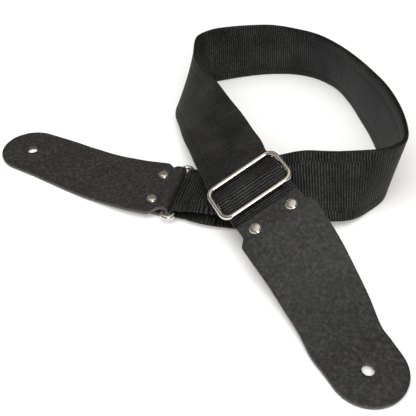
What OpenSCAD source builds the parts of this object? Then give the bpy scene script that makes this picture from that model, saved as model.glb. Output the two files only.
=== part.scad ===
// Guitar strap: ribbed webbing run double through a wire slider, with two leather ends.
// Millimetres, +Z up. The strap lies coiled on a flat surface; X runs from the rear leather
// end to the coil, Y from the front leather end to the back of the coil.

/* [Webbing] */
// Width of the webbing
webbing_w = 49; // [46:1:50]
// Thickness of the webbing
webbing_t = 1.7; // [1.4:0.1:1.9]
// Distance between the centres of the outer and inner runs where they lie together
run_gap = 2; // [2:0.1:2.4]

/* [Leather] */
// Thickness of the leather
leather_t = 2.8; // [2.4:0.1:2.8]
// Radius of the round tip, about the button hole
tip_r = 23.5; // [22:0.5:25]
// Half width at the shoulder
shoulder_w = 28.5; // [26:0.5:29]
// Half width at the neck
neck_w = 24; // [23.5:0.5:24]
// Radius of the strap-button hole
hole_r = 3.75; // [3:0.25:4.5]
// Length of the slit beside the hole
slit_len = 12; // [8:1:15]

/* [Hardware] */
// Outer length of the slider
slider_l = 57; // [57:1:60]
// Outer height of the slider
slider_h = 31; // [30:1:33]
// Wire diameter of the slider
slider_wire = 3.5; // [3.5:0.5:4]
// Outer corner radius of the slider
slider_corner = 8; // [5:1:9]
// Outer length of the rear ring
ring_l = 61.2; // [61.2:0.2:64]
// Outer height of the rear ring
ring_h = 12; // [12:0.1:14]
// Wire diameter of the rear ring and of the slider's centre bar
ring_wire = 3.5; // [3.3:0.1:3.5]
// Outer corner radius of the rear ring
ring_corner = 5.9; // [5:0.1:5.9]
// Diameter of the rivet caps
rivet_d = 8.4; // [8:0.1:9]
// Distance between the two rivets of a pair
rivet_pitch = 28; // [26:1:30]

/* [Hidden] */
$fn = 48;

// Shift that puts the middle of the strap's footprint at the origin
stand = [9.5, -11.12, 0.14];

// Slider: place, turn, and heights of what passes it, measured from the plane of its frame
slider_at = [27.4, -15.6, 35];
slider_turn = [5, -24, 25];
pass_z = -3;
bar_z = -2.6;
crest_z = 1.9;
crest_len = 10.5;
pass_len = 15.5;
loop_end = 22;
neck_y = -23.5;
fit_gap = 0.05;
end_gap = 0.3;
slider_bar_r = ring_wire / 2;
loop_r = slider_bar_r + fit_gap + webbing_t;

// Rear ring: place and turn about Z; its bars run along its own Y
ring_at = [-22, 12, 5.2];
ring_turn = -15;
bar_x = (ring_h - ring_wire) / 2;
turn_r = ring_wire / 2 + fit_gap + webbing_t / 2;
fold_r = ring_wire / 2 + fit_gap + leather_t / 2;

// Button holes: centre of the leather there, and the turn of the flat tip
front_hole_at = [90.7, -141.3, 3.1];
front_tip_turn = [3.2, -2, 25.7];
rear_hole_at = [-138.5, 66, 1.45];
rear_tip_turn = [0, 0, 62.8];

// Rivets: distance from the neck edge or from the bar, and their stack
front_rivet_y = 9;
rear_rivet_x = -15;
cap_h = 1.6;
post_r = 1.6;

// ---- vector helpers
function unit(v) = v / norm(v);
function aim(az, el) = [cos(el) * cos(az), cos(el) * sin(az), sin(el)];
function rot_x(v, a) = [v.x, v.y * cos(a) - v.z * sin(a), v.y * sin(a) + v.z * cos(a)];
function rot_y(v, a) = [v.x * cos(a) + v.z * sin(a), v.y, v.z * cos(a) - v.x * sin(a)];
function rot_z(v, a) = [v.x * cos(a) - v.y * sin(a), v.x * sin(a) + v.y * cos(a), v.z];
function turned(v, t) = rot_z(rot_y(rot_x(v, t.x), t.y), t.z);
function on_slider(v) = slider_at + turned(v, slider_turn);
function on_ring(v) = ring_at + rot_z(v, ring_turn);
function on_front_tip(v) = front_hole_at + turned(v, front_tip_turn);
function on_rear_tip(v) = rear_hole_at + turned(v, rear_tip_turn);

// ---- smooth curve through a list of points (Catmull-Rom)
function clampi(i, n) = min(max(i, 0), n - 1);
function bend(a, b, c, d, t) =
    0.5 * (2 * b + (c - a) * t + (2 * a - 5 * b + 4 * c - d) * t * t
           + (3 * b - a - 3 * c + d) * t * t * t);
function along(list, u) =
    let (n = len(list), i = clampi(floor(u), n - 1), t = u - i,
         a = i > 0 ? list[i - 1] : 2 * list[0] - list[1],
         d = i + 2 < n ? list[i + 2] : 2 * list[n - 1] - list[n - 2])
    bend(a, list[i], list[min(i + 1, n - 1)], d, t);

// ---- strip: a swept rectangle; each station is the pair of points at its two edges
function station(centre, across, half) = [centre - across * half, centre + across * half];
function middle(e) = (e[0] + e[1]) / 2;
function across_dir(e) = unit(e[1] - e[0]);
function edge_dir(s, i, k) = unit(s[min(i + 1, len(s) - 1)][k] - s[max(i - 1, 0)][k]);
function face_dir(s, i, k) = unit(cross(edge_dir(s, i, k), across_dir(s[i])));
// The station moved off its own face by d, and along its width by w
function moved(s, i, d, w = 0) = [for (k = [0, 1]) s[i][k] + face_dir(s, i, k) * d + across_dir(s[i]) * w];
function ring_points(s, i, t) =
    let (under = moved(s, i, -t / 2), upper = moved(s, i, t / 2))
    [under[0], under[1], upper[1], upper[0]];
// Both broad faces are split along the same diagonal, so that layers lie on each other without crossing
function quad(a, b, i, same) =
    let (p = 4 * i + a, q = 4 * i + b)
    same ? [[p, p + 4, q + 4], [p, q + 4, q]] : [[p, p + 4, q], [q, p + 4, q + 4]];
function strip_faces(n) = concat(
    [[0, 1, 2], [0, 2, 3]],
    [for (i = [0 : n - 2], k = [0 : 3]) each quad(k, (k + 1) % 4, i, k != 2)],
    [[4 * n - 4, 4 * n - 2, 4 * n - 3], [4 * n - 4, 4 * n - 1, 4 * n - 2]]);
module strip(s, t) {
    polyhedron([for (i = [0 : len(s) - 1]) each ring_points(s, i, t)], strip_faces(len(s)), convexity = 10);
}

// ---- outer run: edges that stand on the surface (first) and that stand up (second)
half_w = webbing_w / 2;
ring_half_w = half_w - 0.6;
side_shift = 0.5;
turn_flat = 1;
function slider_edges(y) = [on_slider([-half_w, y, pass_z]), on_slider([half_w, y, pass_z])];
function ring_edges(x, z) = [on_ring([x, side_shift - half_w, z]), on_ring([x, side_shift + half_w, z])];
outer_edges = [
    slider_edges(pass_len + end_gap), slider_edges(pass_len + 5),
    // rising stretch over the coil
    [[-3, 6, 24], [36, 22, 44]], [[-8, 21, 22], [31, 34, 45]], [[-13, 43, 18], [23, 52, 47]],
    [[-19, 63, 14], [15, 70, 49]], [[-23, 84, 10], [7, 89, 50]], [[-27, 106, 6], [-2, 109, 50]],
    [[-26, 125, 2], [-10, 126, 50]],
    // left turn and back of the coil
    [[-19, 139, 0], [-11, 143, 49]], [[-10, 159, 0], [-9, 164, 49]], [[5, 171, 0], [3, 176, 49]],
    [[20, 177, 0], [18, 181, 49]], [[40, 183, 0], [39, 184, 49]], [[60, 186, 0], [57, 184, 49]],
    [[81, 185, 0], [76, 178, 49]], [[100, 177, 0], [94, 168, 49]], [[116, 160, 0], [108, 152, 49]],
    // right side and right turn
    [[125, 136, 0], [119.5, 132, 49]], [[130, 111, 0], [129.5, 109, 49]], [[134, 88, 0], [137, 87.5, 49]],
    [[136, 66, 0], [141, 65, 49]], [[135.5, 44, 0], [142, 43, 49]], [[132, 22, 0], [139.7, 22, 49]],
    [[127, 8, 0], [132, 11, 49]], [[114, -5, 0], [116, 5, 49]],
    // front of the coil, leaning back and lying down towards the ring
    [[100, -17, 2], [99, 7, 48]], [[85, -22, 4.5], [83, 8.5, 47.5]], [[69, -22, 5.5], [67, 14.5, 43.5]],
    [[53, -21, 7.9], [52, 17, 34]], [[38, -20, 9.5], [38, 21, 25]], [[22, -18.5, 10.5], [22, 25, 17]],
    [[6, -16.5, 11], [7, 27, 12.5]], ring_edges(22, 5.6), ring_edges(13, 4.4),
    ring_edges(9.5, 3.2), ring_edges(bar_x + turn_flat + end_gap, turn_r + 0.1)
];
run_steps = 3;
run_n = (len(outer_edges) - 1) * run_steps;
ring_share = 0.72;
function ease(x) = x * x * (3 - 2 * x);
function near_ring(k) = max(0, (k / run_n - ring_share) / (1 - ring_share));
function run_half(k) = half_w - (half_w - ring_half_w) * ease(near_ring(k));
outer_run = [for (k = [0 : run_n])
    let (e = along(outer_edges, k / run_steps)) station(middle(e), across_dir(e), run_half(k))];

// Inner run: the outer run moved to the inside of the coil; towards the ring the two part,
// and the inner one lies nearer the edge of the coil
function bump(x) = sin(180 * x) * sin(180 * x);
function opening(x) = (2 * turn_r - run_gap) * ease(x) + 4 * bump(x);
function shift_back(x) = 2 * side_shift * ease(x) + 3.8 * bump(x);
inner_run = [for (k = [0 : run_n])
    let (x = near_ring(k)) moved(outer_run, k, run_gap + opening(x), -shift_back(x))];

// Where the leads end: the fixed runs start at this step of the run
lead_steps = 12;
function part_of(list, a, b) = [for (i = [a : b]) list[i]];

// Turn round the ring's bar, from the outer run above to the inner run below
turn_steps = 12;
across_ring = rot_z([0, 1, 0], ring_turn);
turn_stations = concat(
    [station(on_ring([bar_x + turn_flat, side_shift, turn_r]), across_ring, ring_half_w)],
    [for (i = [0 : turn_steps])
        let (a = 180 * i / turn_steps, y = side_shift * (1 - 2 * ease(i / turn_steps)))
        station(on_ring([bar_x - turn_r * sin(a), y, turn_r * cos(a)]), across_ring, ring_half_w)],
    [station(on_ring([bar_x + turn_flat, -side_shift, -turn_r]), across_ring, ring_half_w)]);

// ---- front leather end: its line as [centre, width direction], flat in the slider's plane at the rivets
seam_gap = 0.1;
neck_z = pass_z + (webbing_t + leather_t) / 2 + seam_gap;
across_slider = turned([1, 0, 0], slider_turn);
across_front_tip = turned([1, 0, 0], front_tip_turn);
front_flat = 22;
front_bends = [
    [on_slider([0, neck_y, neck_z]), across_slider],
    [on_slider([0, neck_y - front_rivet_y, neck_z]), across_slider],
    [on_slider([0, neck_y - 15, neck_z - 0.1]), across_slider],
    [[50.6, -58.7, 27.6], aim(25, 22)], [[59.8, -74, 21.3], aim(25, 18)],
    [[68.2, -89.6, 14.3], aim(25.5, 12)], [[75.7, -105.7, 8.6], aim(25.7, 6)],
    [on_front_tip([0, front_flat, 0]), across_front_tip],
    [on_front_tip([0, front_flat / 2, 0]), across_front_tip],
    [front_hole_at, across_front_tip]
];
// Half width of a leather end: x is the distance from the neck, n from neck to hole, and the
// neck widens to the shoulder between flare and flare + step_len
step_len = 7;
function leather_half(x, n, flare) =
    let (y = x - flare - step_len)
    x < flare ? neck_w
    : y < 0 ? neck_w + (shoulder_w - neck_w) * ease((x - flare) / step_len)
    : shoulder_w + (tip_r - shoulder_w) * y / (n - flare - step_len);
bend_steps = 4;
function direction_at(list, u) = unit(along([for (s = list) s[1]], u));
function place_at(list, u) = along([for (s = list) s[0]], u);
function walked(list, i) = i == 0 ? 0 : norm(list[i] - list[i - 1]) + walked(list, i - 1);
// Stations along a leather end's line, from its neck to its hole
function leather_sheet(bends, flare) =
    let (n = (len(bends) - 1) * bend_steps,
         places = [for (k = [0 : n]) place_at(bends, k / bend_steps)],
         to_hole = walked(places, n))
    [for (k = [0 : n]) station(places[k], direction_at(bends, k / bend_steps),
                               leather_half(walked(places, k), to_hole, flare))];
front_sheet = leather_sheet(front_bends, 9);
// Round tip: stations by angle about the hole
tip_angles = [10 : 6.5 : 88];
front_tip = [for (a = tip_angles)
    station(on_front_tip([0, -tip_r * sin(a), 0]), across_front_tip, tip_r * cos(a))];

// ---- rear leather end: tab below the bar, fold round it, then the long upper side
tab_x = [-28, -24, -20, -15, -12, -bar_x - 3.25];
tab_z = [-2.7, -2.65, -2.55, -2.5, -2.7, -3.1];
function rear_cross(x, z) = station(on_ring([x, 0, z]), across_ring, neck_w);
fold_steps = 12;
rear_tab = [for (i = [0 : len(tab_x) - 1]) rear_cross(tab_x[i], tab_z[i])];
rear_fold = [for (i = [0 : fold_steps - 1])
    let (a = 180 * i / fold_steps) rear_cross(-bar_x + fold_r * sin(a), -fold_r * cos(a))];
across_rear_tip = turned([1, 0, 0], rear_tip_turn);
rear_bends = [
    [on_ring([-bar_x, 0, fold_r]), across_ring], [on_ring([-bar_x - 2.75, 0, 2.9]), across_ring],
    [on_ring([-bar_x - 5.05, 0, 1.3]), across_ring], [on_ring([-bar_x - 7.15, 0, 0.5]), across_ring],
    [on_ring([-15, 0, 0.4]), across_ring], [on_ring([-20, 0, 0.35]), across_ring],
    [on_ring([-29, 0, 0.2]), aim(74, 0)], [[-62, 25, 3.8], aim(71, 0)], [[-80, 34, 2], aim(67, 0)],
    [[-99, 44.5, 1.5], aim(64, 0)], [on_rear_tip([0, -22, 0]), across_rear_tip],
    [on_rear_tip([0, -11, 0]), across_rear_tip], [rear_hole_at, across_rear_tip]
];
rear_sheet = leather_sheet(rear_bends, 5);
rear_tip = [for (a = tip_angles)
    station(on_rear_tip([0, tip_r * sin(a), 0]), across_rear_tip, tip_r * cos(a))];

// ---- sub-parts
module fixed_in_place() { translate(stand) children(); }
module at_slider() { fixed_in_place() translate(slider_at) rotate(slider_turn) children(); }
module at_ring() { fixed_in_place() translate(ring_at) rotate([0, 0, ring_turn]) children(); }

// The two long runs, each in four stretches round the coil
run_cuts = [lead_steps, 30, 54, 78, run_n];
module stretch(run, i) {
    color("#1c1c1e") fixed_in_place() strip(part_of(run, run_cuts[i], run_cuts[i + 1]), webbing_t);
}
module webbing_outer_rise() { stretch(outer_run, 0); }
module webbing_outer_back() { stretch(outer_run, 1); }
module webbing_outer_side() { stretch(outer_run, 2); }
module webbing_outer_front() { stretch(outer_run, 3); }
module webbing_inner_rise() { stretch(inner_run, 0); }
module webbing_inner_back() { stretch(inner_run, 1); }
module webbing_inner_side() { stretch(inner_run, 2); }
module webbing_inner_front() { stretch(inner_run, 3); }

module webbing_outer_lead() {
    color("#1c1c1e") fixed_in_place() strip(part_of(outer_run, 0, lead_steps), webbing_t);
}

// Stretch of the inner run between the sewn end and the fixed run
module webbing_inner_lead() {
    start = station(on_slider([0, loop_end + 2 * end_gap, pass_z - run_gap]), across_slider, half_w);
    color("#19191b") fixed_in_place() strip(concat([start], part_of(inner_run, 4, lead_steps)), webbing_t);
}

module webbing_ring_turn() {
    color("#1c1c1e") fixed_in_place() strip(turn_stations, webbing_t);
}

// The outer run where it rises over the centre bar inside the slider
function crest(y) =
    abs(y) < crest_len ? pass_z + (crest_z - pass_z) * (1 + cos(180 * y / crest_len)) / 2 : pass_z;
module webbing_slider_pass() {
    ys = [-pass_len, each [for (i = [-10 : 10]) i * crest_len / 10], pass_len];
    outline = concat([for (y = ys) [y, crest(y) - webbing_t / 2]],
                     [for (i = [len(ys) - 1 : -1 : 0]) [ys[i], crest(ys[i]) + webbing_t / 2]]);
    color("#1c1c1e") at_slider()
        rotate([90, 0, 90]) linear_extrude(webbing_w, center = true) polygon(outline);
}

// Webbing from the slider to its end beneath the front leather, this many stations along it
tail_steps = 11;
module webbing_tail() {
    narrow = ring_half_w - 0.4;
    under = -(leather_t + webbing_t) / 2 - seam_gap;
    sheet = [for (s = front_sheet) station(middle(s), across_dir(s), narrow)];
    tail = concat(
        [for (y = [-pass_len - end_gap, neck_y + 1])
            station(on_slider([0, y, pass_z]), across_slider, half_w)],
        [for (k = [0 : tail_steps]) moved(sheet, k, under)]);
    color("#1c1c1e") fixed_in_place() difference() {
        strip(tail, webbing_t);
        front_rivets() rivet_hole();
    }
}

// Sewn end of the webbing: a loop round the centre bar and two layers stitched flat
module webbing_end_loop() {
    top_z = pass_z - run_gap + webbing_t / 2;
    low_z = top_z - 2 * webbing_t;
    color("#19191b") at_slider() rotate([90, 0, 90]) difference() {
        union() {
            translate([0, bar_z, 0]) cylinder(h = webbing_w, r = loop_r, center = true);
            linear_extrude(webbing_w, center = true)
                polygon([[0.5, bar_z + loop_r - 0.1], [8, top_z], [loop_end, top_z], [loop_end, low_z],
                         [8, low_z], [0.5, bar_z - loop_r + 0.1]]);
        }
        translate([0, bar_z, 0]) cylinder(h = webbing_w + 2, r = slider_bar_r + fit_gap, center = true);
    }
}

// Four rows of thread on the underside of the sewn end
module end_stitching() {
    thread = 0.6;
    low_z = pass_z - run_gap - 1.5 * webbing_t;
    color("#2a2a2c") at_slider()
        for (row = [0 : 3], i = [-4 : 4])
            translate([i * 5, 10 + row * 3, low_z - thread / 2]) cube([4, thread, thread], center = true);
}

// Cutters for a button hole and a rivet hole; a turn keeps their seams off the facets' edges
cut_h = 12;
module button_hole(at, tilt) {
    translate(at) rotate(tilt) rotate([0, 0, 20]) cylinder(h = cut_h, r = hole_r, center = true);
}
module rivet_hole(z = 0) {
    translate([0, 0, z]) rotate([0, 0, 20]) cylinder(h = cut_h, r = post_r, center = true);
}

slit_w = 0.8;
// Slit that runs from the hole towards the neck; way is +1 or -1 along the tip's own Y
module button_slit(at, tilt, way) {
    translate(at) rotate(tilt)
        translate([0, way * (hole_r + slit_len / 2 - 0.5), 0])
            cube([slit_w, slit_len, cut_h], center = true);
}

module leather_end_front() {
    color("#303032") fixed_in_place() difference() {
        strip(concat(front_sheet, front_tip), leather_t);
        button_hole(front_hole_at, front_tip_turn);
        button_slit(front_hole_at, front_tip_turn, 1);
        front_rivets() rivet_hole();
    }
}

module leather_end_rear() {
    color("#2a2a2c") fixed_in_place() difference() {
        strip(concat(rear_tab, rear_fold, rear_sheet, rear_tip), leather_t);
        button_hole(rear_hole_at, rear_tip_turn);
        button_slit(rear_hole_at, rear_tip_turn, -1);
        rear_rivets() rivet_hole(-2);
    }
}

// Rivet places: children stand on the middle of the leather, Z out of its upper face
module front_rivets() {
    translate(slider_at) rotate(slider_turn)
        for (side = [-1, 1])
            translate([side * rivet_pitch / 2, neck_y - front_rivet_y, neck_z]) children();
}
module rear_rivets() {
    translate(ring_at) rotate([0, 0, ring_turn])
        for (side = [-1, 1])
            translate([rear_rivet_x, side * rivet_pitch / 2, 0.4]) children();
}

// Domed cap: a slice of a ball on a short rim
module rivet_cap() {
    dome_r = (rivet_d * rivet_d / 4 + 1.44) / 2.4;
    cylinder(h = cap_h - 1.2, d = rivet_d);
    intersection() {
        translate([0, 0, cap_h - dome_r]) sphere(dome_r);
        translate([0, 0, cap_h - 1.2]) cylinder(h = 2, d = rivet_d);
    }
}

module rivet_caps_front() {
    color("silver") fixed_in_place() front_rivets() translate([0, 0, leather_t / 2]) rivet_cap();
}
module rivet_caps_rear() {
    color("silver") fixed_in_place() rear_rivets() translate([0, 0, leather_t / 2]) rivet_cap();
}

module rivet_posts_front() {
    stack = leather_t + webbing_t + seam_gap;
    color("silver") fixed_in_place() front_rivets()
        translate([0, 0, leather_t / 2 - stack]) cylinder(h = stack, r = post_r);
}
module rivet_posts_rear() {
    stack = 2 * leather_t + seam_gap;
    color("silver") fixed_in_place() rear_rivets()
        translate([0, 0, leather_t / 2 - stack]) cylinder(h = stack, r = post_r);
}

back_h = 1.1;
module rivet_backs_front() {
    color("silver") fixed_in_place() front_rivets()
        translate([0, 0, -leather_t / 2 - seam_gap - webbing_t - back_h])
            cylinder(h = back_h, d = rivet_d - 0.6);
}
module rivet_backs_rear() {
    color("silver") fixed_in_place() rear_rivets()
        translate([0, 0, -1.5 * leather_t - seam_gap - back_h]) cylinder(h = back_h, d = rivet_d - 0.6);
}

// Closed rectangle of round wire with round corners, flat in X-Y
module wire_loop(l, h, wire, corner) {
    r = wire / 2;
    bend_r = corner - r;
    cx = l / 2 - corner;
    cy = h / 2 - corner;
    for (s = [-1, 1]) {
        translate([0, s * (h / 2 - r), 0]) rotate([0, 90, 0]) cylinder(h = 2 * cx, r = r, center = true);
        translate([s * (l / 2 - r), 0, 0]) rotate([90, 0, 0]) cylinder(h = 2 * cy, r = r, center = true);
    }
    corners = [[cx, cy], [-cx, cy], [-cx, -cy], [cx, -cy]];
    for (i = [0 : 3])
        translate(corners[i]) rotate([0, 0, 90 * i])
            rotate_extrude(angle = 90) translate([bend_r, 0]) circle(r);
}

module slider_frame() {
    color("lightgray") at_slider() wire_loop(slider_l, slider_h, slider_wire, slider_corner);
}

// Centre bar, welded beneath the two short sides of the frame
module slider_centre_bar() {
    color("lightgray") at_slider() difference() {
        translate([0, 0, bar_z]) rotate([0, 90, 0])
            cylinder(h = slider_l - 3, r = slider_bar_r, center = true);
        for (s = [-1, 1])
            translate([s * (slider_l - slider_wire) / 2, 0, 0]) rotate([90, 0, 0])
                cylinder(h = slider_h - 2 * slider_corner, r = slider_wire / 2, center = true);
    }
}

module ring_rear() {
    color("lightgray") at_ring() rotate([0, 0, 90]) wire_loop(ring_l, ring_h, ring_wire, ring_corner);
}

webbing_outer_rise();
webbing_outer_back();
webbing_outer_side();
webbing_outer_front();
webbing_inner_rise();
webbing_inner_back();
webbing_inner_side();
webbing_inner_front();
webbing_outer_lead();
webbing_inner_lead();
webbing_slider_pass();
webbing_tail();
webbing_ring_turn();
webbing_end_loop();
end_stitching();
leather_end_front();
rivet_caps_front();
rivet_posts_front();
rivet_backs_front();
leather_end_rear();
rivet_caps_rear();
rivet_posts_rear();
rivet_backs_rear();
slider_frame();
slider_centre_bar();
ring_rear();
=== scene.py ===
"""Looks of the guitar strap: webbing with real ribs, leather ends, thread and nickel hardware."""
import math
import bmesh
import bpy
import numpy as np
from mathutils import Matrix, Vector
from mathutils.geometry import delaunay_2d_cdt


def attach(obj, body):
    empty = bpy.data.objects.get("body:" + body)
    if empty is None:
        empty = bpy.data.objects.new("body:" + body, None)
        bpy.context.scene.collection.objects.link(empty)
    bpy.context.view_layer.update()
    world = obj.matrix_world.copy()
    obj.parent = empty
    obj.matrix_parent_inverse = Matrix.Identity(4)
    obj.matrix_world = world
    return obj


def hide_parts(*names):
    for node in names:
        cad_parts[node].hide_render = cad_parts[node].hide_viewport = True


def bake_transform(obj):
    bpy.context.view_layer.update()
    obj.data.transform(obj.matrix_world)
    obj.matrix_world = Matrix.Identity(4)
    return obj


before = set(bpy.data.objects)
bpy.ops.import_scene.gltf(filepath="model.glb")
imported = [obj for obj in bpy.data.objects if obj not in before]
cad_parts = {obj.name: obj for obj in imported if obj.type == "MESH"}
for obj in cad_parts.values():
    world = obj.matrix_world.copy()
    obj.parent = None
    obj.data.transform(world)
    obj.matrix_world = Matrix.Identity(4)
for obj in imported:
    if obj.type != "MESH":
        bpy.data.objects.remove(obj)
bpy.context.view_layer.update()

MM = 0.001
SEED = 7

# ---- driving sizes, in millimetres, as in the CAD source; the slit is narrower here
STAND = np.array([9.5, -11.12, 0.14])
WEB_W, WEB_T, RUN_GAP = 49.0, 1.7, 2.0
RIB_PITCH, RIB_DEPTH, RIB_STEPS = 1.95, 0.30, 4
YARN_PITCH = 0.95
BORDER_W, GROOVE_DEPTH = 8.0, 0.10
LEATHER_T, TIP_R, SHOULDER_W, NECK_W = 2.8, 23.5, 28.5, 24.0
STEP_LEN, NECK_CORNER = 7.0, 2.0
HOLE_R, SLIT_LEN, SLIT_W = 3.75, 12.0, 0.5
RING_WIRE, RING_H = 3.5, 12.0
SLIDER_L, SLIDER_WIRE = 57.0, 3.5
RIVET_PITCH, RIVET_D = 28.0, 8.4
FIT_GAP = 0.05

SLIDER_AT, SLIDER_TURN = np.array([27.4, -15.6, 35.0]), (5.0, -24.0, 25.0)
PASS_Z, BAR_Z, CREST_Z, CREST_LEN, PASS_LEN = -3.0, -2.6, 1.9, 10.5, 15.5
LOOP_END, NECK_Y = 22.0, -23.5
RING_AT, RING_TURN = np.array([-22.0, 12.0, 5.2]), (0.0, 0.0, -15.0)
BAR_X = (RING_H - RING_WIRE) / 2
TURN_R = RING_WIRE / 2 + FIT_GAP + WEB_T / 2
FOLD_R = RING_WIRE / 2 + FIT_GAP + LEATHER_T / 2
FRONT_HOLE_AT, FRONT_TIP_TURN = np.array([90.7, -141.3, 3.1]), (3.2, -2.0, 25.7)
REAR_HOLE_AT, REAR_TIP_TURN = np.array([-138.5, 66.0, 1.45]), (0.0, 0.0, 62.8)
HALF_W = WEB_W / 2
RING_HALF_W = HALF_W - 0.6
SIDE_SHIFT = 0.5
SEAM_GAP = 0.1
NECK_Z = PASS_Z + (WEB_T + LEATHER_T) / 2 + SEAM_GAP
FRONT_RIVET_Y, REAR_RIVET_X, REAR_RIVET_Z = NECK_Y - 9, -15.0, 0.4


# ---- places
def turn_matrix(turn):
    """Rotation about X, then Y, then Z, in degrees."""
    x, y, z = (math.radians(a) for a in turn)
    return np.array(Matrix.Rotation(z, 3, "Z") @ Matrix.Rotation(y, 3, "Y") @ Matrix.Rotation(x, 3, "X"))


def placed(at, turn, point):
    return at + turn_matrix(turn) @ np.asarray(point, float)


def on_slider(*point):
    return placed(SLIDER_AT, SLIDER_TURN, point)


def on_ring(*point):
    return placed(RING_AT, RING_TURN, point)


def aim(az, el):
    a, e = math.radians(az), math.radians(el)
    return np.array([math.cos(e) * math.cos(a), math.cos(e) * math.sin(a), math.sin(e)])


def unit(v):
    v = np.asarray(v, float)
    return v / np.linalg.norm(v, axis=-1, keepdims=True)


def ease(x):
    return x * x * (3 - 2 * x)


def to_frame(points):
    """From the design's millimetres to the row frame's metres."""
    return (np.asarray(points, float) + STAND) * MM


def along(points, u):
    """Catmull-Rom through points at parameters u; the ends run on straight."""
    p = np.asarray(points, float)
    p = np.vstack([2 * p[:1] - p[1:2], p, 2 * p[-1:] - p[-2:-1]])
    i = np.clip(np.floor(u).astype(int), 0, len(p) - 4)
    t = (np.asarray(u) - i)[:, None]
    a, b, c, d = p[i], p[i + 1], p[i + 2], p[i + 3]
    return 0.5 * (
        2 * b + (c - a) * t + (2 * a - 5 * b + 4 * c - d) * t**2 + (3 * b - a - 3 * c + d) * t**3
    )


# ---- a band in space: its two edges, closely spaced, and the way its face points at each edge
class Band:
    def __init__(self, low, high):
        self.low, self.high = np.asarray(low, float), np.asarray(high, float)
        across = unit(self.high - self.low)
        self.n_low = unit(np.cross(unit(np.gradient(self.low, axis=0)), across))
        self.n_high = unit(np.cross(unit(np.gradient(self.high, axis=0)), across))
        steps = np.linalg.norm(np.diff((self.low + self.high) / 2, axis=0), axis=1)
        self.s = np.concatenate([[0], np.cumsum(steps)])
        self.length = float(self.s[-1])

    def at(self, s, y=None, share=None):
        """Points and normals s along the band, at y from its middle or at a share of its half width."""
        s = np.asarray(s, float)
        low, high, n_low, n_high = (
            np.stack([np.interp(s, self.s, v[:, k]) for k in range(3)], -1)
            for v in (self.low, self.high, self.n_low, self.n_high)
        )
        if share is None:
            share = np.asarray(y) * 2 / np.linalg.norm(high - low, axis=-1)
        f = ((np.asarray(share) + 1) / 2)[..., None]
        return low * (1 - f) + high * f, unit(n_low * (1 - f) + n_high * f)

    def moved(self, off, sideways=0.0):
        """The band moved off its face, and along its width."""
        off, sideways = np.reshape(off, (-1, 1)), np.reshape(sideways, (-1, 1))
        shift = unit(self.high - self.low) * sideways
        return Band(self.low + self.n_low * off + shift, self.high + self.n_high * off + shift)

    def part(self, start, end):
        s = np.linspace(start, end, max(4, int(abs(end - start) / 0.6)))
        return Band(self.at(s, share=-np.ones(len(s)))[0], self.at(s, share=np.ones(len(s)))[0])


def band_of(centre, across, half):
    centre, across = np.asarray(centre, float), unit(across)
    half = np.broadcast_to(half, len(centre))[:, None]
    return Band(centre - across * half, centre + across * half)


def slider_edges(y):
    return [on_slider(-HALF_W, y, PASS_Z), on_slider(HALF_W, y, PASS_Z)]


def ring_edges(x, z):
    return [on_ring(x, SIDE_SHIFT - HALF_W, z), on_ring(x, SIDE_SHIFT + HALF_W, z)]


# The outer run's two edges: the one that stands on the surface first, then the upper one
OUTER_EDGES = [
    slider_edges(PASS_LEN), slider_edges(PASS_LEN + 5),
    # rising stretch over the coil
    [[-3, 6, 24], [36, 22, 44]], [[-8, 21, 22], [31, 34, 45]], [[-13, 43, 18], [23, 52, 47]],
    [[-19, 63, 14], [15, 70, 49]], [[-23, 84, 10], [7, 89, 50]], [[-27, 106, 6], [-2, 109, 50]],
    [[-26, 125, 2], [-10, 126, 50]],
    # left turn and back of the coil
    [[-19, 139, 0], [-11, 143, 49]], [[-10, 159, 0], [-9, 164, 49]], [[5, 171, 0], [3, 176, 49]],
    [[20, 177, 0], [18, 181, 49]], [[40, 183, 0], [39, 184, 49]], [[60, 186, 0], [57, 184, 49]],
    [[81, 185, 0], [76, 178, 49]], [[100, 177, 0], [94, 168, 49]], [[116, 160, 0], [108, 152, 49]],
    # right side and right turn
    [[125, 136, 0], [119.5, 132, 49]], [[130, 111, 0], [129.5, 109, 49]], [[134, 88, 0], [137, 87.5, 49]],
    [[136, 66, 0], [141, 65, 49]], [[135.5, 44, 0], [142, 43, 49]], [[132, 22, 0], [139.7, 22, 49]],
    [[127, 8, 0], [132, 11, 49]], [[114, -5, 0], [116, 5, 49]],
    # front of the coil, leaning back and lying down towards the ring
    [[100, -17, 2], [99, 7, 48]], [[85, -22, 4.5], [83, 8.5, 47.5]], [[69, -22, 5.5], [67, 14.5, 43.5]],
    [[53, -21, 7.9], [52, 17, 34]], [[38, -20, 9.5], [38, 21, 25]], [[22, -18.5, 10.5], [22, 25, 17]],
    [[6, -16.5, 11], [7, 27, 12.5]], ring_edges(22, 5.6), ring_edges(13, 4.4),
    ring_edges(9.5, 3.2), ring_edges(BAR_X + 1.3, TURN_R + 0.1),
]
RING_SHARE = 0.72
FINE = 40


def run_bands():
    """The outer run, and the inner run beside it: they part towards the ring's bar."""
    u = np.linspace(0, len(OUTER_EDGES) - 1, (len(OUTER_EDGES) - 1) * FINE + 1)
    low = along([e[0] for e in OUTER_EDGES], u)
    high = along([e[1] for e in OUTER_EDGES], u)
    x = np.clip((u / u[-1] - RING_SHARE) / (1 - RING_SHARE), 0, 1)
    outer = band_of((low + high) / 2, high - low, HALF_W - (HALF_W - RING_HALF_W) * ease(x))
    bump = np.sin(np.pi * x) ** 2
    gap = RUN_GAP + (2 * TURN_R - RUN_GAP) * ease(x) + 4 * bump
    return outer, outer.moved(gap, -2 * SIDE_SHIFT * ease(x) - 3.8 * bump)


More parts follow.
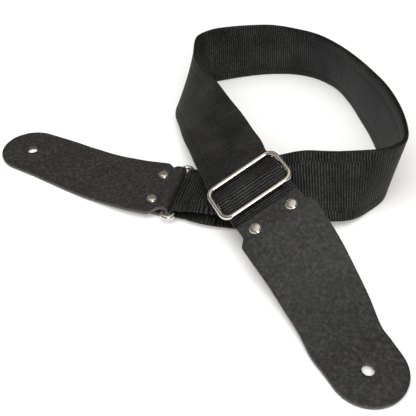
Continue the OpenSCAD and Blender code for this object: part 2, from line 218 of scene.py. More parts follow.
# ---- mesh helpers
def mesh_piece(name, points, faces, smooth=True):
    """A mesh object from points in the design's millimetres."""
    mesh = bpy.data.meshes.new(name)
    mesh.from_pydata(to_frame(points).tolist(), [], faces)
    mesh.validate()
    mesh.polygons.foreach_set("use_smooth", [smooth] * len(mesh.polygons))
    obj = bpy.data.objects.new(name, mesh)
    bpy.context.scene.collection.objects.link(obj)
    return obj


def tag(obj, name, values):
    """A vector attribute on the points, which the materials read."""
    attribute = obj.data.attributes.new(name, "FLOAT_VECTOR", "POINT")
    attribute.data.foreach_set("vector", np.asarray(values, np.float32).ravel())


def joined_up(rings, ring_n):
    """Quads between closed rings of points, and a cap at each end."""
    faces = []
    for first in range(0, (rings - 1) * ring_n, ring_n):
        for k in range(ring_n):
            a, b = first + k, first + (k + 1) % ring_n
            faces.append((a, b, b + ring_n, a + ring_n))
    last = (rings - 1) * ring_n
    return faces + [tuple(reversed(range(ring_n))), tuple(range(last, last + ring_n))]


def outward(obj):
    """Turns a closed mesh's faces so that their normals point out."""
    bm = bmesh.new()
    bm.from_mesh(obj.data)
    bmesh.ops.recalc_face_normals(bm, faces=bm.faces)
    bm.to_mesh(obj.data)
    bm.free()


# ---- webbing: crosswise ribs, a border that is woven half a rib out of step, and rounded selvedges
def webbing(name, band, s0=0.0):
    """s0 is how far along the cloth the band starts, so that ribs run on from piece to piece."""
    n = max(3, int(round(band.length / (RIB_PITCH / RIB_STEPS))) + 1)
    s = np.linspace(0, band.length, n)
    groove = HALF_W - BORDER_W
    edge_rows = [HALF_W - 0.3, HALF_W - 1.4, HALF_W - 4.5]
    side = np.array(edge_rows + [groove + 0.45, groove, groove - 0.45, 10.5, 5.0])
    rounded = np.array([0.72] + [1.0] * 7)
    row_y = np.concatenate([-side, [0], side[::-1]])
    row_r = np.concatenate([rounded, [1], rounded[::-1]])
    border = (np.abs(row_y) > groove).astype(float)
    in_groove = (np.abs(np.abs(row_y) - groove) < 0.01).astype(float)
    k = 2 * math.pi / RIB_PITCH
    rib = 0.5 - 0.5 * np.cos(k * (s[:, None] + s0) + math.pi * border[None, :])
    height = (WEB_T / 2 - RIB_DEPTH * (1 - rib) - GROOVE_DEPTH * in_groove[None, :]) * row_r[None, :]
    grid_s = np.repeat(s[:, None], len(row_y), axis=1)
    face, normal = band.at(grid_s, share=np.repeat(row_y[None, :] / HALF_W, n, axis=0))
    loops = 1 + 0.10 / HALF_W * np.cos(k * (s + s0))
    edge_low, edge_high = band.at(s, share=-loops)[0], band.at(s, share=loops)[0]
    upper, lower = face + normal * height[..., None], face - normal * height[..., None]
    rings = np.concatenate([edge_low[:, None], upper, edge_high[:, None], lower[:, ::-1]], axis=1)
    obj = mesh_piece(name, rings.reshape(-1, 3), joined_up(n, rings.shape[1]))
    y = np.concatenate([[-HALF_W], row_y, [HALF_W], row_y[::-1]])
    # the crest height also drives the painted highlight on the rib crests in webbing_material
    crest = np.concatenate([rib[:, :1], rib, rib[:, -1:], rib[:, ::-1]], axis=1)
    along_cloth, over_cloth = np.meshgrid(s + s0, y, indexing="ij")
    tag(obj, "cloth", np.stack([along_cloth, over_cloth, crest], -1))
    outward(obj)
    return obj


# ---- leather: a flat cut with a round tip, a hole and a slit, laid along a path
def half_width(x, to_hole, flare):
    """The neck widens to the shoulder between flare and flare + STEP_LEN."""
    if x < flare:
        return NECK_W
    if x < flare + STEP_LEN:
        return NECK_W + (SHOULDER_W - NECK_W) * ease((x - flare) / STEP_LEN)
    return SHOULDER_W + (TIP_R - SHOULDER_W) * (x - flare - STEP_LEN) / (to_hole - flare - STEP_LEN)


def leather_outline(start, to_hole, flare):
    """Outline of the cut as (x, y): x runs from the neck to the tip, and start is where the tab begins."""
    corner = NECK_CORNER
    xs = np.arange(start + corner, to_hole, 1.2)
    side = [(x, half_width(x, to_hole, flare)) for x in xs]
    tip = [
        (to_hole + TIP_R * math.sin(a), TIP_R * math.cos(a))
        for a in np.radians(np.arange(0, 180.1, 4))
    ]
    end = [
        (start + corner - corner * math.sin(a), -NECK_W + corner - corner * math.cos(a))
        for a in np.radians(np.arange(15, 90.1, 15))
    ]
    ys = np.arange(-NECK_W + corner, NECK_W - corner + 0.1, 1.5)[1:-1]
    far_end = [(x, -y) for x, y in reversed(end)]
    back = [(x, -y) for x, y in reversed(side)]
    return side + tip[:-1] + back + end + [(start, y) for y in ys] + far_end


def keyhole(to_hole):
    """The button hole and its slit, which runs from the hole towards the neck, as one outline."""
    edge = math.asin(SLIT_W / 2 / HOLE_R)
    turn = np.linspace(math.pi - edge, -math.pi + edge, 40)
    circle = [(to_hole + HOLE_R * math.cos(a), HOLE_R * math.sin(a)) for a in turn]
    far = to_hole - HOLE_R - SLIT_LEN + 0.5
    near = circle[-1][0]
    steps = np.linspace(near, far, 12)[1:]
    lower = [(x, -SLIT_W / 2 * min(1, (x - far) / 2 + 0.25)) for x in steps]
    upper = [(x, -y) for x, y in reversed(lower)]
    return circle + lower + upper


def distance_to(loop, points):
    """Distance from each point to a closed loop of straight pieces."""
    a = np.asarray(loop, float)
    b = np.roll(a, -1, axis=0)
    best = np.full(len(points), 1e9)
    for p, q in zip(a, b):
        d = q - p
        t = np.clip(((points - p) @ d) / max(d @ d, 1e-12), 0, 1)
        best = np.minimum(best, np.linalg.norm(points - p - t[:, None] * d, axis=1))
    return best


def inside(loop, points):
    a = np.asarray(loop, float)
    b = np.roll(a, -1, axis=0)
    odd = np.zeros(len(points), bool)
    for (x1, y1), (x2, y2) in zip(a, b):
        crosses = (y1 > points[:, 1]) != (y2 > points[:, 1])
        with np.errstate(divide="ignore", invalid="ignore"):
            x = (x2 - x1) * (points[:, 1] - y1) / (y2 - y1) + x1
        odd ^= crosses & (points[:, 0] < x)
    return odd


def inset(loop, by):
    """A loop's points moved inwards by a small distance."""
    a = np.asarray(loop, float)
    t = unit(np.roll(a, -1, axis=0) - np.roll(a, 1, axis=0))
    side = np.stack([-t[:, 1], t[:, 0]], -1)
    area = np.sum(a[:, 0] * np.roll(a[:, 1], -1) - np.roll(a[:, 0], -1) * a[:, 1])
    return a + side * by * (1 if area > 0 else -1)


# how far the leather's face is rounded off at a distance from its outline, and from its hole
ROUND = [(0.0, 0.72), (0.12, 0.45), (0.4, 0.18), (0.85, 0.03), (1.4, 0.0)]
HOLE_ROUND = [(0.0, 0.5), (0.35, 0.16), (1.2, 0.0)]
GRID_STEP = 1.6


def soft_noise(x, y, scale, seed):
    """Smooth height between about -1 and 1 from a few crossed waves."""
    rng = np.random.default_rng(seed)
    total = np.zeros(np.shape(x))
    for _ in range(9):
        a, f, p = rng.uniform(0, 2 * math.pi), rng.uniform(0.5, 1.6) / scale, rng.uniform(0, 6.3)
        total += np.sin(2 * math.pi * f * (x * math.cos(a) + y * math.sin(a)) + p)
    return total / 4


def cut_grid(outer, hole, start, to_hole):
    """Points inside the cut, slightly out of line, and clear of its outlines."""
    gx, gy = np.meshgrid(
        np.arange(start, to_hole + TIP_R, GRID_STEP), np.arange(-SHOULDER_W, SHOULDER_W, GRID_STEP)
    )
    grid = np.stack([gx.ravel(), gy.ravel()], -1)
    grid = grid + np.random.default_rng(SEED).uniform(-0.12, 0.12, grid.shape)
    grid = grid[inside(outer, grid) & ~inside(hole, grid)]
    return grid[(distance_to(outer, grid) > 2.0) & (distance_to(hole, grid) > 1.6)]


def flat_cut(outer, hole, grid):
    """The cut as triangles in the plane, with rows of points along its rounded rims."""
    outer_rings = [np.asarray(outer)] + [inset(outer, d) for d, _ in ROUND[1:]]
    hole_rings = [np.asarray(hole), inset(hole, -HOLE_ROUND[1][0])]
    points, edges = [], []
    for ring in [outer_rings[0], hole_rings[0]]:
        first = len(points)
        points += ring.tolist()
        edges += [(first + i, first + (i + 1) % len(ring)) for i in range(len(ring))]
    for ring in outer_rings[1:] + hole_rings[1:]:
        points += ring.tolist()
    points += grid.tolist()
    done = delaunay_2d_cdt([Vector(p) for p in points], edges, [], 0, 1e-4)
    flat = np.array([tuple(v) for v in done[0]], float)
    tris = np.array([f for f in done[2] if len(f) == 3], int)
    mid = flat[tris].mean(axis=1)
    tris = tris[inside(outer, mid) & ~inside(hole, mid)]
    used = np.unique(tris)
    index = -np.ones(len(flat), int)
    index[used] = np.arange(len(used))
    return flat[used], index[tris]


def leather_faces(x, y, d_out, d_hole, rivets, folds):
    """Heights of the smooth and the rough face: rounded rims, dents at the rivets, creases, slight waves."""
    rounding = np.interp(d_out, [d for d, _ in ROUND], [z for _, z in ROUND])
    rounding += np.interp(d_hole, [d for d, _ in HOLE_ROUND], [z for _, z in HOLE_ROUND])
    wavy = 0.16 * soft_noise(x, y, 45, SEED) + 0.05 * soft_noise(x, y, 14, SEED + 1)
    dent = np.zeros(len(x))
    for rx, ry in rivets:
        r = np.hypot(x - rx, y - ry)
        dent += np.exp(-(((r - RIVET_D / 2 - 0.9) / 0.9) ** 2))
        wavy *= 1 - np.exp(-((r / 8) ** 2))
    crease = np.zeros(len(x))
    for fold_x, width, depth in folds:
        wander = fold_x + 0.5 * soft_noise(y, y * 0, 9, int(abs(fold_x) * 10) + 3)
        crease += depth * np.exp(-(((x - wander) / width) ** 2))
    top = LEATHER_T / 2 - rounding - 0.22 * dent - crease + wavy
    return top, -LEATHER_T / 2 + 0.6 * rounding + wavy


def leather(name, band, grain, start, to_hole, shift, flare, rivets, folds=()):
    """x is 0 at the neck, start at the tab's end, and shift is how far along the band x = 0 lies.
    grain is 1 or -1, for the side of the band that is the smooth one."""
    outer, hole = leather_outline(start, to_hole, flare), keyhole(to_hole)
    flat, tris = flat_cut(outer, hole, cut_grid(outer, hole, start, to_hole))
    n = len(flat)
    x, y = flat[:, 0], flat[:, 1]
    d_out, d_hole = distance_to(outer, flat), distance_to(hole, flat)
    top, bottom = leather_faces(x, y, d_out, d_hole, rivets, folds)
    middle_face, normal = band.at(x + shift, y=y)

    def lifted(z):
        return middle_face + normal * (grain * z)[:, None]

    edges = dict.fromkeys(e for a, b, c in tris.tolist() for e in ((a, b), (b, c), (c, a)))
    rim = [e for e in edges if (e[1], e[0]) not in edges]
    on_rim = sorted({v for e in rim for v in e})
    where = {v: i for i, v in enumerate(on_rim)}
    middle = lifted((top + bottom) / 2)[on_rim]
    faces = [tuple(t) for t in tris.tolist()]
    faces += [(c + n, b + n, a + n) for a, b, c in tris.tolist()]
    for a, b in rim:
        mid_a, mid_b = 2 * n + where[a], 2 * n + where[b]
        faces += [(b, a, mid_a, mid_b), (mid_b, mid_a, a + n, b + n)]
    obj = mesh_piece(name, np.vstack([lifted(top), lifted(bottom), middle]), faces)
    from_cut = np.minimum(d_out, d_hole)
    on_edge = np.zeros(len(on_rim))
    tag(obj, "hide", np.stack([
        np.concatenate([x, x, x[on_rim]]),
        np.concatenate([from_cut, from_cut, on_edge]),
        np.concatenate([np.ones(n), -np.ones(n), on_edge]),
    ], -1))
    outward(obj)
    return obj


def smooth_band(rows, half):
    """A band through given rows of (centre, width direction), and the distance along it of each row."""
    k = np.linspace(0, len(rows) - 1, (len(rows) - 1) * FINE + 1)
    band = band_of(along([r[0] for r in rows], k), along([r[1] for r in rows], k), half)
    return band, np.interp(np.arange(len(rows)), k, band.s)


def front_band():
    """The front leather's line, from its neck edge to past the hole."""
    u = turn_matrix(SLIDER_TURN) @ [1, 0, 0]
    tip_u = turn_matrix(FRONT_TIP_TURN) @ [1, 0, 0]
    rows = [
        (on_slider(0, NECK_Y, NECK_Z), u), (on_slider(0, NECK_Y - 9, NECK_Z), u),
        (on_slider(0, NECK_Y - 15, NECK_Z - 0.1), u),
        ([50.6, -58.7, 27.6], aim(25, 22)), ([59.8, -74, 21.3], aim(25, 18)),
        ([68.2, -89.6, 14.3], aim(25.5, 12)), ([75.7, -105.7, 8.6], aim(25.7, 6)),
    ]
    rows += [(placed(FRONT_HOLE_AT, FRONT_TIP_TURN, [0, y, 0]), tip_u) for y in (22, 11, 0, -TIP_R - 1)]
    band, marks = smooth_band(rows, SHOULDER_W)
    return band, marks[-2]


def rear_band():
    """The rear leather's line: its tab beneath, round the ring's bar, and out to past the hole."""
    v = turn_matrix(RING_TURN) @ [0, 1, 0]
    tip_v = turn_matrix(REAR_TIP_TURN) @ [1, 0, 0]
    tab = [(-28, -2.7), (-24, -2.65), (-20, -2.55), (-15, -2.5), (-12, -2.7), (-BAR_X - 3.25, -3.1)]
    rows = [(on_ring(x, 0, z), v) for x, z in tab]
    for a in np.radians(np.arange(0, 180.1, 15)):
        rows.append((on_ring(-BAR_X + FOLD_R * math.sin(a), 0, -FOLD_R * math.cos(a)), v))
    fold_row = len(rows) - 1
    after = [(-BAR_X - 2.75, 2.9), (-BAR_X - 5.05, 1.3), (-BAR_X - 7.15, 0.5)]
    after += [(REAR_RIVET_X, REAR_RIVET_Z), (-20, 0.35)]
    rows += [(on_ring(x, 0, z), v) for x, z in after]
    rows += [(on_ring(-29, 0, 0.2), aim(74, 0))]
    rows += [([-62, 25, 3.8], aim(71, 0)), ([-80, 34, 2], aim(67, 0)), ([-99, 44.5, 1.5], aim(64, 0))]
    rows += [(placed(REAR_HOLE_AT, REAR_TIP_TURN, [0, y, 0]), tip_v) for y in (-22, -11, 0, TIP_R + 1)]
    band, marks = smooth_band(rows, SHOULDER_W)
    return band, marks[-2], marks[fold_row], marks[fold_row + 4]


# ---- materials
class Shade:
    """A new material, and short ways to add nodes to it."""

    def __init__(self, name):
        self.material = bpy.data.materials.new(name)
        self.material.use_nodes = True
        tree = self.material.node_tree
        self.nodes, self.links = tree.nodes, tree.links
        self.inputs = tree.nodes["Principled BSDF"].inputs

    def join(self, source, name):
        self.links.new(source, self.inputs[name])

    def const(self, **values):
        """Sets values that are the same all over the surface, on the shader's own sockets."""
        for name, value in values.items():
            self.inputs[name.replace("_", " ")].default_value = value

    def parts(self, name):
        """The three parts of a vector attribute."""
        read = self.nodes.new("ShaderNodeAttribute")
        read.attribute_name = name
        split = self.nodes.new("ShaderNodeSeparateXYZ")
        self.links.new(read.outputs["Vector"], split.inputs[0])
        return split.outputs

    def calc(self, operation, a, b):
        """a is a socket, and b is a number or a socket."""
        node = self.nodes.new("ShaderNodeMath")
        node.operation = operation
        self.links.new(a, node.inputs[0])
        if isinstance(b, (int, float)):
            node.inputs[1].default_value = b
        else:
            self.links.new(b, node.inputs[1])
        return node.outputs[0]

    def wave(self, source, pitch):
        angle = self.calc("MULTIPLY", source, 2 * math.pi / pitch)
        node = self.nodes.new("ShaderNodeMath")
        node.operation = "SINE"
        self.links.new(angle, node.inputs[0])
        return node.outputs[0]

    def weighted(self, *terms):
        """Sum of (socket, weight) pairs."""
        total = None
        for source, weight in terms:
            so_far, total = total, self.calc("MULTIPLY_ADD", source, weight)
            total.node.inputs[2].default_value = 0.0
            if so_far is not None:
                self.links.new(so_far, total.node.inputs[2])
        return total

    def ramp(self, source, stops):
        return ramp_node(self.nodes, self.links, source, stops)

    def place(self):
        return self.nodes.new("ShaderNodeTexCoord").outputs["Object"]

    def noise(self, scale, detail, vector):
        node = self.nodes.new("ShaderNodeTexNoise")
        node.inputs["Scale"].default_value = scale
        node.inputs["Detail"].default_value = detail
        self.links.new(vector, node.inputs["Vector"])
        return node.outputs["Fac"]

    def bump(self, height, strength, distance):
        node = self.nodes.new("ShaderNodeBump")
        node.inputs["Strength"].default_value = strength
        node.inputs["Distance"].default_value = distance
        self.links.new(height, node.inputs["Height"])
        self.join(node.outputs["Normal"], "Normal")


def ramp_node(nodes, links, source, stops):
    node = nodes.new("ShaderNodeValToRGB")
    ramp = node.color_ramp
    while len(ramp.elements) < len(stops):
        ramp.elements.new(0.5)
    for element, (at, colour) in zip(ramp.elements, stops):
        element.position = at
        element.color = (*colour, 1)
    links.new(source, node.inputs[0])
    return node.outputs[0]


def webbing_material():
    """Black yarn: painted highlight on the rib crests and painted shade in the grooves, as lighter and
    darker colour, broken up where the warp yarns cross them.
    """
    shade = Shade("webbing_black")
    cloth = shade.parts("cloth")
    slant = shade.weighted((cloth["Y"], 1.0), (cloth["X"], YARN_PITCH / RIB_PITCH / 2))
    straight_yarn, slanted_yarn = shade.wave(cloth["Y"], YARN_PITCH), shade.wave(slant, YARN_PITCH)
    yarn = shade.weighted((straight_yarn, 0.30), (slanted_yarn, 0.20), (cloth["Z"], 0.5))
    place = shade.place()
    fuzz = shade.noise(1500, 2, place)
    patch = shade.noise(55, 3, place)
    lint = shade.noise(420, 2, place)
    # painted highlight and shade: the crest height lifts the colour on the rib crests and leaves the grooves
    # darker, standing in for light across the ribs
    crest = shade.calc("MULTIPLY", cloth["Z"], shade.calc("ADD", yarn, 0.4))
    tone = shade.weighted((crest, 0.34), (patch, 0.30), (lint, 0.34))
    colour = shade.ramp(tone, [
        (0.28, (0.0022, 0.0022, 0.0023)), (0.42, (0.0070, 0.0069, 0.0068)),
        (0.56, (0.023, 0.0228, 0.0223)), (0.72, (0.085, 0.084, 0.082)),
    ])
    shade.join(colour, "Base Color")
    shade.join(shade.weighted((fuzz, 0.2), (patch, 0.2), (lint, 0.5)), "Roughness")
    shade.bump(shade.weighted((yarn, 1.0), (fuzz, 1.2)), 0.6, 0.00012)
    shade.const(Specular_IOR_Level=0.13, Sheen_Weight=0.05, Sheen_Roughness=0.4)
    shade.const(Sheen_Tint=(0.5, 0.5, 0.5, 1))
    return shade.material


def leather_material():
    """Black grain leather: mottled face, fine cells, and cut edges rubbed lighter."""
    shade = Shade("leather_black")
    hide = shade.parts("hide")
    place = shade.place()
    cells = shade.nodes.new("ShaderNodeTexVoronoi")
    cells.feature = "SMOOTH_F1"
    cells.inputs["Scale"].default_value = 1050
    cells.inputs["Smoothness"].default_value = 0.6
    cells.inputs["Randomness"].default_value = 1.0
    shade.links.new(place, cells.inputs["Vector"])
    pores = shade.noise(1900, 3, place)
    patch = shade.noise(38, 4, place)
    fine = shade.noise(420, 4, place)
    rub = shade.noise(90, 5, place)
    tone = shade.weighted((patch, 0.12), (fine, 0.60), (pores, 0.28))
    body = shade.ramp(tone, [
        (0.36, (0.0095, 0.0094, 0.0093)), (0.50, (0.0208, 0.0205, 0.0201)), (0.64, (0.043, 0.0422, 0.0412)),
    ])
    from_cut = shade.calc("ADD", hide["Y"], shade.calc("MULTIPLY", rub, 0.5))
    edge = shade.ramp(from_cut, [(0.22, (1, 1, 1)), (0.62, (0, 0, 0))])
    mix = shade.nodes.new("ShaderNodeMix")
    mix.data_type = "RGBA"
    shade.links.new(edge, mix.inputs[0])
    shade.links.new(body, mix.inputs[6])
    mix.inputs[7].default_value = (0.080, 0.072, 0.064, 1)
    shade.join(mix.outputs[2], "Base Color")
    shade.join(shade.weighted((patch, 0.15), (pores, 0.40), (fine, 0.40)), "Roughness")
    shade.bump(shade.weighted((cells.outputs["Distance"], 1.0), (pores, 0.5), (fine, 0.8)), 0.55, 0.00025)
    shade.const(Specular_IOR_Level=0.32)
    return shade.material


def nickel_material():
    """Plated wire: warm, slightly clouded, with fine scratches."""
    shade = Shade("nickel_plate")
    place = shade.place()
    cloud = shade.noise(130, 4, place)
    scratch_map = shade.nodes.new("ShaderNodeMapping")
    scratch_map.inputs["Scale"].default_value = (1.0, 0.12, 1.0)
    shade.links.new(place, scratch_map.inputs["Vector"])
    scratch = shade.noise(2600, 2, scratch_map.outputs[0])
    colour = shade.ramp(cloud, [
        (0.3, (0.62, 0.565, 0.48)), (0.55, (0.74, 0.695, 0.62)), (0.8, (0.83, 0.80, 0.74)),
    ])
    shade.join(colour, "Base Color")
    shade.join(shade.weighted((cloud, 0.14), (scratch, 0.10)), "Roughness")
    shade.bump(scratch, 0.03, 0.00005)
    shade.const(Metallic=1.0)
    return shade.material


def thread_material():
    """Twisted black thread."""
    shade = Shade("thread_black")
    place = shade.place()
    twist = shade.nodes.new("ShaderNodeTexWave")
    twist.inputs["Scale"].default_value = 900
    twist.inputs["Distortion"].default_value = 1.5
    shade.links.new(place, twist.inputs["Vector"])
    colour = shade.ramp(twist.outputs["Fac"], [(0.2, (0.012, 0.012, 0.012)), (0.8, (0.05, 0.05, 0.052))])
    shade.join(colour, "Base Color")
    shade.bump(twist.outputs["Fac"], 0.5, 0.00008)
    shade.const(Roughness=0.5)
    return shade.material


def floor_material():
    """Nearly even white, slightly lit from within so that shadows stay pale."""
    shade = Shade("floor_white")
    cloud = shade.noise(3, 2, shade.place())
    colour = shade.ramp(cloud, [(0.3, (0.90, 0.90, 0.90)), (0.7, (0.93, 0.93, 0.93))])
    shade.join(colour, "Base Color")
    shade.const(Roughness=0.85, Specular_IOR_Level=0.1, Emission_Color=(1, 1, 1, 1), Emission_Strength=0.10)
    return shade.material


WEBBING, LEATHER = webbing_material(), leather_material()
NICKEL, THREAD = nickel_material(), thread_material()


def finished(obj, material, slot_name, *nodes):
    obj.data.materials.clear()
    obj.data.materials.append(material)
    if nodes:
        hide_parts(*nodes)
    return obj


# ---- camera: at the photograph's angle, looking along +Y and down at the design's origin
CAMERA_LENS, CAMERA_SENSOR = 60.0, 36.0
CAMERA_ELEVATION, CAMERA_DISTANCE = math.radians(42), 500


def make_camera():
    data = bpy.data.cameras.new("camera")
    data.lens, data.sensor_width = CAMERA_LENS, CAMERA_SENSOR
    data.clip_start, data.clip_end = 0.01, 20
    cam = bpy.data.objects.new("camera", data)
    back = np.array([0, -math.cos(CAMERA_ELEVATION), math.sin(CAMERA_ELEVATION)])
    cam.location = to_frame(back * CAMERA_DISTANCE)
    cam.rotation_euler = (math.pi / 2 - CAMERA_ELEVATION, 0, 0)
    bpy.context.scene.collection.objects.link(cam)
    bpy.context.scene.camera = cam


make_camera()
outer_run, inner_run = run_bands()
ACROSS_SLIDER = turn_matrix(SLIDER_TURN) @ [1, 0, 0]
ACROSS_RING = turn_matrix(RING_TURN) @ [0, 1, 0]

# ---- webbing on the strap and across the slider's travel
LEAD_LEN = 72.0
RUN_NODES = ("rise", "back", "side", "front")
INNER_START = LOOP_END + 0.1 - PASS_LEN


def cloth_piece(obj, length, held, *nodes):
    """Finishes a webbing piece with the webbing material and hides its CAD nodes; length and held are not
    used.
    """
    finished(obj, WEBBING, "webbing", *nodes)
    return obj


def make_webbing():
    for kind, run, first in (("outer", outer_run, 0.0), ("inner", inner_run, INNER_START)):
        main = webbing(f"webbing_{kind}_run", run.part(LEAD_LEN, run.length), s0=LEAD_LEN)
        lead = webbing(f"webbing_{kind}_stretch", run.part(first, LEAD_LEN), s0=first)
        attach(main, "strap")
        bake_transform(lead)
        cloth_piece(main, run.length - LEAD_LEN, "laid", *[f"webbing_{kind}_{part}" for part in RUN_NODES])
        cloth_piece(lead, LEAD_LEN - first, "stretched", f"webbing_{kind}_lead")


def slider_band(route, steps=8):
    """A band across the slider, through points (y, z) in its own frame."""
    k = np.linspace(0, len(route) - 1, (len(route) - 1) * steps + 1)
    line = along([on_slider(0, y, z) for y, z in route], k)
    return band_of(line, np.tile(ACROSS_SLIDER, (len(line), 1)), HALF_W)


def make_pass():
    """The webbing where it rises over the centre bar, inside the slider."""
    ys = np.arange(PASS_LEN, -PASS_LEN - 0.01, -0.5)
    hump = (CREST_Z - PASS_Z) * (1 + np.cos(np.pi * ys / CREST_LEN)) / 2
    rise = np.where(np.abs(ys) < CREST_LEN, hump, 0)
    band = slider_band(list(zip(ys, PASS_Z + rise)), steps=2)
    obj = webbing("webbing_over_bar", band)
    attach(obj, "slider")
    return cloth_piece(obj, band.length, "stretched", "webbing_slider_pass")


def make_tail(leather_band):
    """From the slider to the end beneath the leather; it follows the slider at one end."""
    under = leather_band.moved(-(LEATHER_T + WEB_T) / 2 - SEAM_GAP).part(1.5, 20)
    ys = np.arange(-PASS_LEN, NECK_Y - 0.4, -0.5)
    free = np.array([on_slider(0, y, PASS_Z) for y in ys])
    line = np.vstack([free, (under.low + under.high) / 2])
    across = np.vstack([np.tile(ACROSS_SLIDER, (len(free), 1)), under.high - under.low])
    narrow = ease(np.clip((np.arange(len(line)) - len(free) + 8) / 10, 0, 1))
    band = band_of(line, across, HALF_W - (HALF_W - RING_HALF_W + 0.4) * narrow)
    obj = webbing("webbing_tail_end", band)
    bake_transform(obj)
    return cloth_piece(obj, band.length, "stretched", "webbing_tail")


def make_ring_turn():
    """Round the ring's bar, from the outer run above to the inner run below."""
    line = []
    for a in np.linspace(0, 1, 25):
        x, z = BAR_X - TURN_R * math.sin(math.pi * a), TURN_R * math.cos(math.pi * a)
        line.append(on_ring(x, SIDE_SHIFT * (1 - 2 * ease(a)), z))
    low = [p - ACROSS_RING * RING_HALF_W for p in line]
    high = [p + ACROSS_RING * RING_HALF_W for p in line]
    low = [outer_run.low[-1]] + low + [inner_run.low[-1]]
    high = [outer_run.high[-1]] + high + [inner_run.high[-1]]
    k = np.linspace(0, len(low) - 1, (len(low) - 1) * 4 + 1)
    band = Band(along(low, k), along(high, k))
    obj = webbing("webbing_round_ring", band)
    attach(obj, "strap")
    return cloth_piece(obj, band.length, "folded", "webbing_ring_turn")


def make_end_loop():
    """The sewn end: one layer in, round the centre bar, and back beneath itself."""
    upper = PASS_Z - RUN_GAP
    lower = upper - WEB_T
    r = RING_WIRE / 2 + FIT_GAP + WEB_T / 2
    route = [(LOOP_END, upper), (16, upper), (10, upper + 0.05)]
    route += [(6.4, upper + 1.4), (3.4, BAR_Z + r - 0.75)]
    route += [(-r * math.sin(a), BAR_Z + r * math.cos(a)) for a in np.radians(np.arange(-10, 190.1, 20))]
    route += [(3.4, lower + 0.45), (7, lower), (12, lower), (LOOP_END, lower)]
    band = slider_band(route)
    obj = webbing("webbing_sewn_loop", band)
    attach(obj, "slider")
    return cloth_piece(obj, band.length, "folded", "webbing_end_loop")


def tube(line, radius, sides=8):
    """Rings of points round a line, with its ends drawn in."""
    line = np.asarray(line, float)
    t = unit(np.gradient(line, axis=0))
    guide = np.array([0.31, 0.17, 0.93])
    a = unit(np.cross(t, guide))
    b = np.cross(t, a)
    turn = np.linspace(0, 2 * math.pi, sides, endpoint=False)
    radius = np.broadcast_to(radius, len(line))
    ring = np.cos(turn)[None, :, None] * a[:, None] + np.sin(turn)[None, :, None] * b[:, None]
    return (line[:, None] + ring * radius[:, None, None]).reshape(-1, 3)


def add_tubes(name, lines, radius_of, sides=8):
    points, faces = [], []
    for line in lines:
        first = len(points)
        rows = tube(line, radius_of(len(line)), sides)
        points += rows.tolist()
        faces += [tuple(first + i for i in f) for f in joined_up(len(line), sides)]
    obj = mesh_piece(name, points, faces)
    outward(obj)
    return obj


STITCH_PITCH, STITCH_HALF, STITCH_R = 5, 2.1, 0.3
STITCH_ROWS = (10, 13, 16, 19)


def make_stitching():
    """Rows of stitches through the sewn loop; each stitch dips into the webbing at its ends."""
    low = PASS_Z - RUN_GAP - 1.5 * WEB_T
    lines = []
    for y in STITCH_ROWS:
        for i in range(-4, 5):
            shares = np.linspace(-1, 1, 9)
            x = i * STITCH_PITCH
            lines.append([on_slider(x + STITCH_HALF * v, y, low - 0.25 + 0.5 * v**4) for v in shares])
    obj = add_tubes("thread_rows", lines, lambda n: STITCH_R * (1 - 0.75 * np.linspace(-1, 1, n) ** 6))
    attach(obj, "slider")
    return finished(obj, THREAD, "thread", "end_stitching")


# rivet profiles as (radius, height) above and below the leather
CAP = [
    (0, 1.6), (1.0, 1.59), (2.0, 1.545), (2.7, 1.45), (3.15, 1.32), (3.5, 1.12), (3.75, 0.85),
    (3.9, 0.55), (3.97, 0.42), (4.1, 0.38), (4.2, 0.26), (4.2, 0.1), (4.14, 0),
]
BACK = [
    (0, -0.55), (0.9, -0.6), (1.3, -0.95), (1.9, -1.1), (2.8, -1.02), (3.5, -0.72), (3.85, -0.4),
    (3.9, -0.12), (3.8, 0),
]
RIVET_PAIR = (-RIVET_PITCH / 2, RIVET_PITCH / 2)


def turned_profile(profile, base, turn, steps=48):
    """A closed lathe shape: its profile ends on its flat side."""
    points = [placed(base, turn, [0, 0, profile[0][1]])]
    for r, z in profile[1:]:
        for k in range(steps):
            a = 2 * math.pi * k / steps
            points.append(placed(base, turn, [r * math.cos(a), r * math.sin(a), z]))
    rows = len(profile) - 1
    faces = [(0, 1 + k, 1 + (k + 1) % steps) for k in range(steps)]
    for i in range(rows - 1):
        for k in range(steps):
            a, b = 1 + i * steps + k, 1 + i * steps + (k + 1) % steps
            faces.append((a, a + steps, b + steps, b))
    last = 1 + (rows - 1) * steps
    faces.append(tuple(range(last, last + steps)))
    return points, faces


def make_rivets(name, profile, bases, turn, body, node):
    points, faces = [], []
    for base in bases:
        p, f = turned_profile(profile, base, turn)
        faces += [tuple(len(points) + i for i in face) for face in f]
        points += p
    obj = mesh_piece(name, points, faces)
    outward(obj)
    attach(obj, body)
    return finished(obj, NICKEL, "nickel", node)


def all_rivets():
    def front(z):
        return [on_slider(x, FRONT_RIVET_Y, NECK_Z + z) for x in RIVET_PAIR]

    def rear(z):
        return [on_ring(REAR_RIVET_X, y, REAR_RIVET_Z + z) for y in RIVET_PAIR]

    top = LEATHER_T / 2
    front_low, rear_low = -LEATHER_T / 2 - SEAM_GAP - WEB_T, -1.5 * LEATHER_T - SEAM_GAP
    make_rivets("rivet_cap_front", CAP, front(top), SLIDER_TURN, "strap", "rivet_caps_front")
    make_rivets("rivet_back_front", BACK, front(front_low), SLIDER_TURN, "strap", "rivet_backs_front")
    make_rivets("rivet_cap_rear", CAP, rear(top), RING_TURN, "rear_end", "rivet_caps_rear")
    make_rivets("rivet_back_rear", BACK, rear(rear_low), RING_TURN, "rear_end", "rivet_backs_rear")


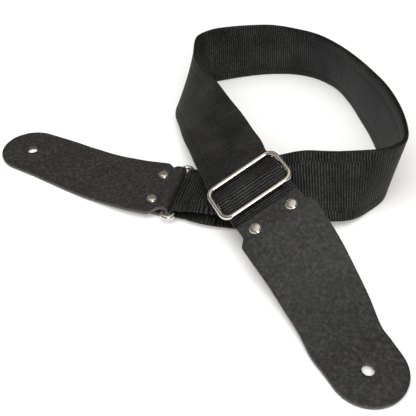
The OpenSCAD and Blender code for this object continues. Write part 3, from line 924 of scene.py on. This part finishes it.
def make_welds():
    """Beads where the centre bar meets the slider's short sides."""
    side_x = (SLIDER_L - SLIDER_WIRE) / 2
    lines = []
    for sx in (-1, 1):
        for y in (-SLIDER_WIRE / 2, SLIDER_WIRE / 2):
            line = []
            for a in np.linspace(-0.9, 0.9, 9):
                x = sx * (side_x - 1.2 - 0.7 * math.cos(a))
                line.append(on_slider(x, y, BAR_Z + 1.35 + 1.1 * math.sin(a)))
            lines.append(line)
    obj = add_tubes("slider_welds", lines, lambda n: 0.62 * (1 - 0.6 * np.linspace(-1, 1, n) ** 4), 10)
    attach(obj, "slider")
    return finished(obj, NICKEL, "nickel")


# creases across each leather end, as (distance from the neck, width, depth)
FRONT_FOLDS = [(24, 1.4, 0.10), (38, 2.2, 0.08)]
REAR_FOLDS = [(-4, 0.5, 0.12), (-1, 0.4, 0.15), (1.6, 0.45, 0.16), (4.2, 0.6, 0.12), (7.0, 0.9, 0.12)]
FRONT_FLARE, REAR_FLARE = 9, 5


def make_leathers():
    """Both leather ends; returns the front one's band, which the webbing beneath follows."""
    band, to_hole = front_band()
    rivets = [(NECK_Y - FRONT_RIVET_Y, y) for y in RIVET_PAIR]
    front = leather("leather_front", band, 1, 0.0, to_hole, 0.0, FRONT_FLARE, rivets, FRONT_FOLDS)
    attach(front, "strap")
    finished(front, LEATHER, "leather", "leather_end_front")
    rear, hole_s, fold_s, rivet_s = rear_band()
    rivets, to_hole = [(rivet_s - fold_s, y) for y in RIVET_PAIR], hole_s - fold_s
    back = leather("leather_rear", rear, -1, -fold_s, to_hole, fold_s, REAR_FLARE, rivets, REAR_FOLDS)
    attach(back, "rear_end")
    finished(back, LEATHER, "leather", "leather_end_rear")
    return band


make_webbing()
front_line = make_leathers()
make_pass()
make_tail(front_line)
make_ring_turn()
make_end_loop()
make_stitching()
all_rivets()
make_welds()
for part in ("slider_frame", "slider_centre_bar", "ring_rear", "rivet_posts_front", "rivet_posts_rear"):
    finished(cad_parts[part], NICKEL, "nickel")


# ---- stage: pale floor, soft lights
# the sky's colour from the horizon, 0, to straight up, 1
SKY = [
    (0.0, (0.10, 0.09, 0.08)), (0.45, (0.20, 0.185, 0.165)), (0.78, (0.27, 0.255, 0.235)),
    (0.88, (0.9, 0.9, 0.89)), (1.0, (1, 1, 1)),
]
# name, place and size in metres, power in watts, and whether it shows in reflections
LIGHTS = [("key", (-0.5, -0.4, 1.45), 2.0, 22, False), ("front", (0.25, -1.1, 0.85), 0.6, 8.0, True)]
FLOOR_SIZE = 8


def make_stage():
    bpy.ops.mesh.primitive_plane_add(size=FLOOR_SIZE, location=(0, 0, 0))
    floor = bpy.context.object
    floor.name = "floor"
    floor.data.materials.append(floor_material())
    world = bpy.data.worlds.new("world")
    world.use_nodes = True
    nodes, links = world.node_tree.nodes, world.node_tree.links
    background = nodes["Background"]
    split = nodes.new("ShaderNodeSeparateXYZ")
    links.new(nodes.new("ShaderNodeTexCoord").outputs["Generated"], split.inputs[0])
    height = nodes.new("ShaderNodeMath")
    height.operation = "ABSOLUTE"
    links.new(split.outputs["Z"], height.inputs[0])
    links.new(ramp_node(nodes, links, height.outputs[0], SKY), background.inputs["Color"])
    background.inputs["Strength"].default_value = 1.0
    bpy.context.scene.view_settings.view_transform = "Standard"
    bpy.context.scene.world = world
    for name, place, size, power, in_gloss in LIGHTS:
        data = bpy.data.lights.new(name, "AREA")
        data.shape = "SQUARE"
        data.size, data.energy = size, power
        light = bpy.data.objects.new(name, data)
        light.location = place
        light.visible_glossy = in_gloss
        light.rotation_euler = (-Vector(place)).to_track_quat("-Z", "Y").to_euler()
        bpy.context.scene.collection.objects.link(light)


make_stage()
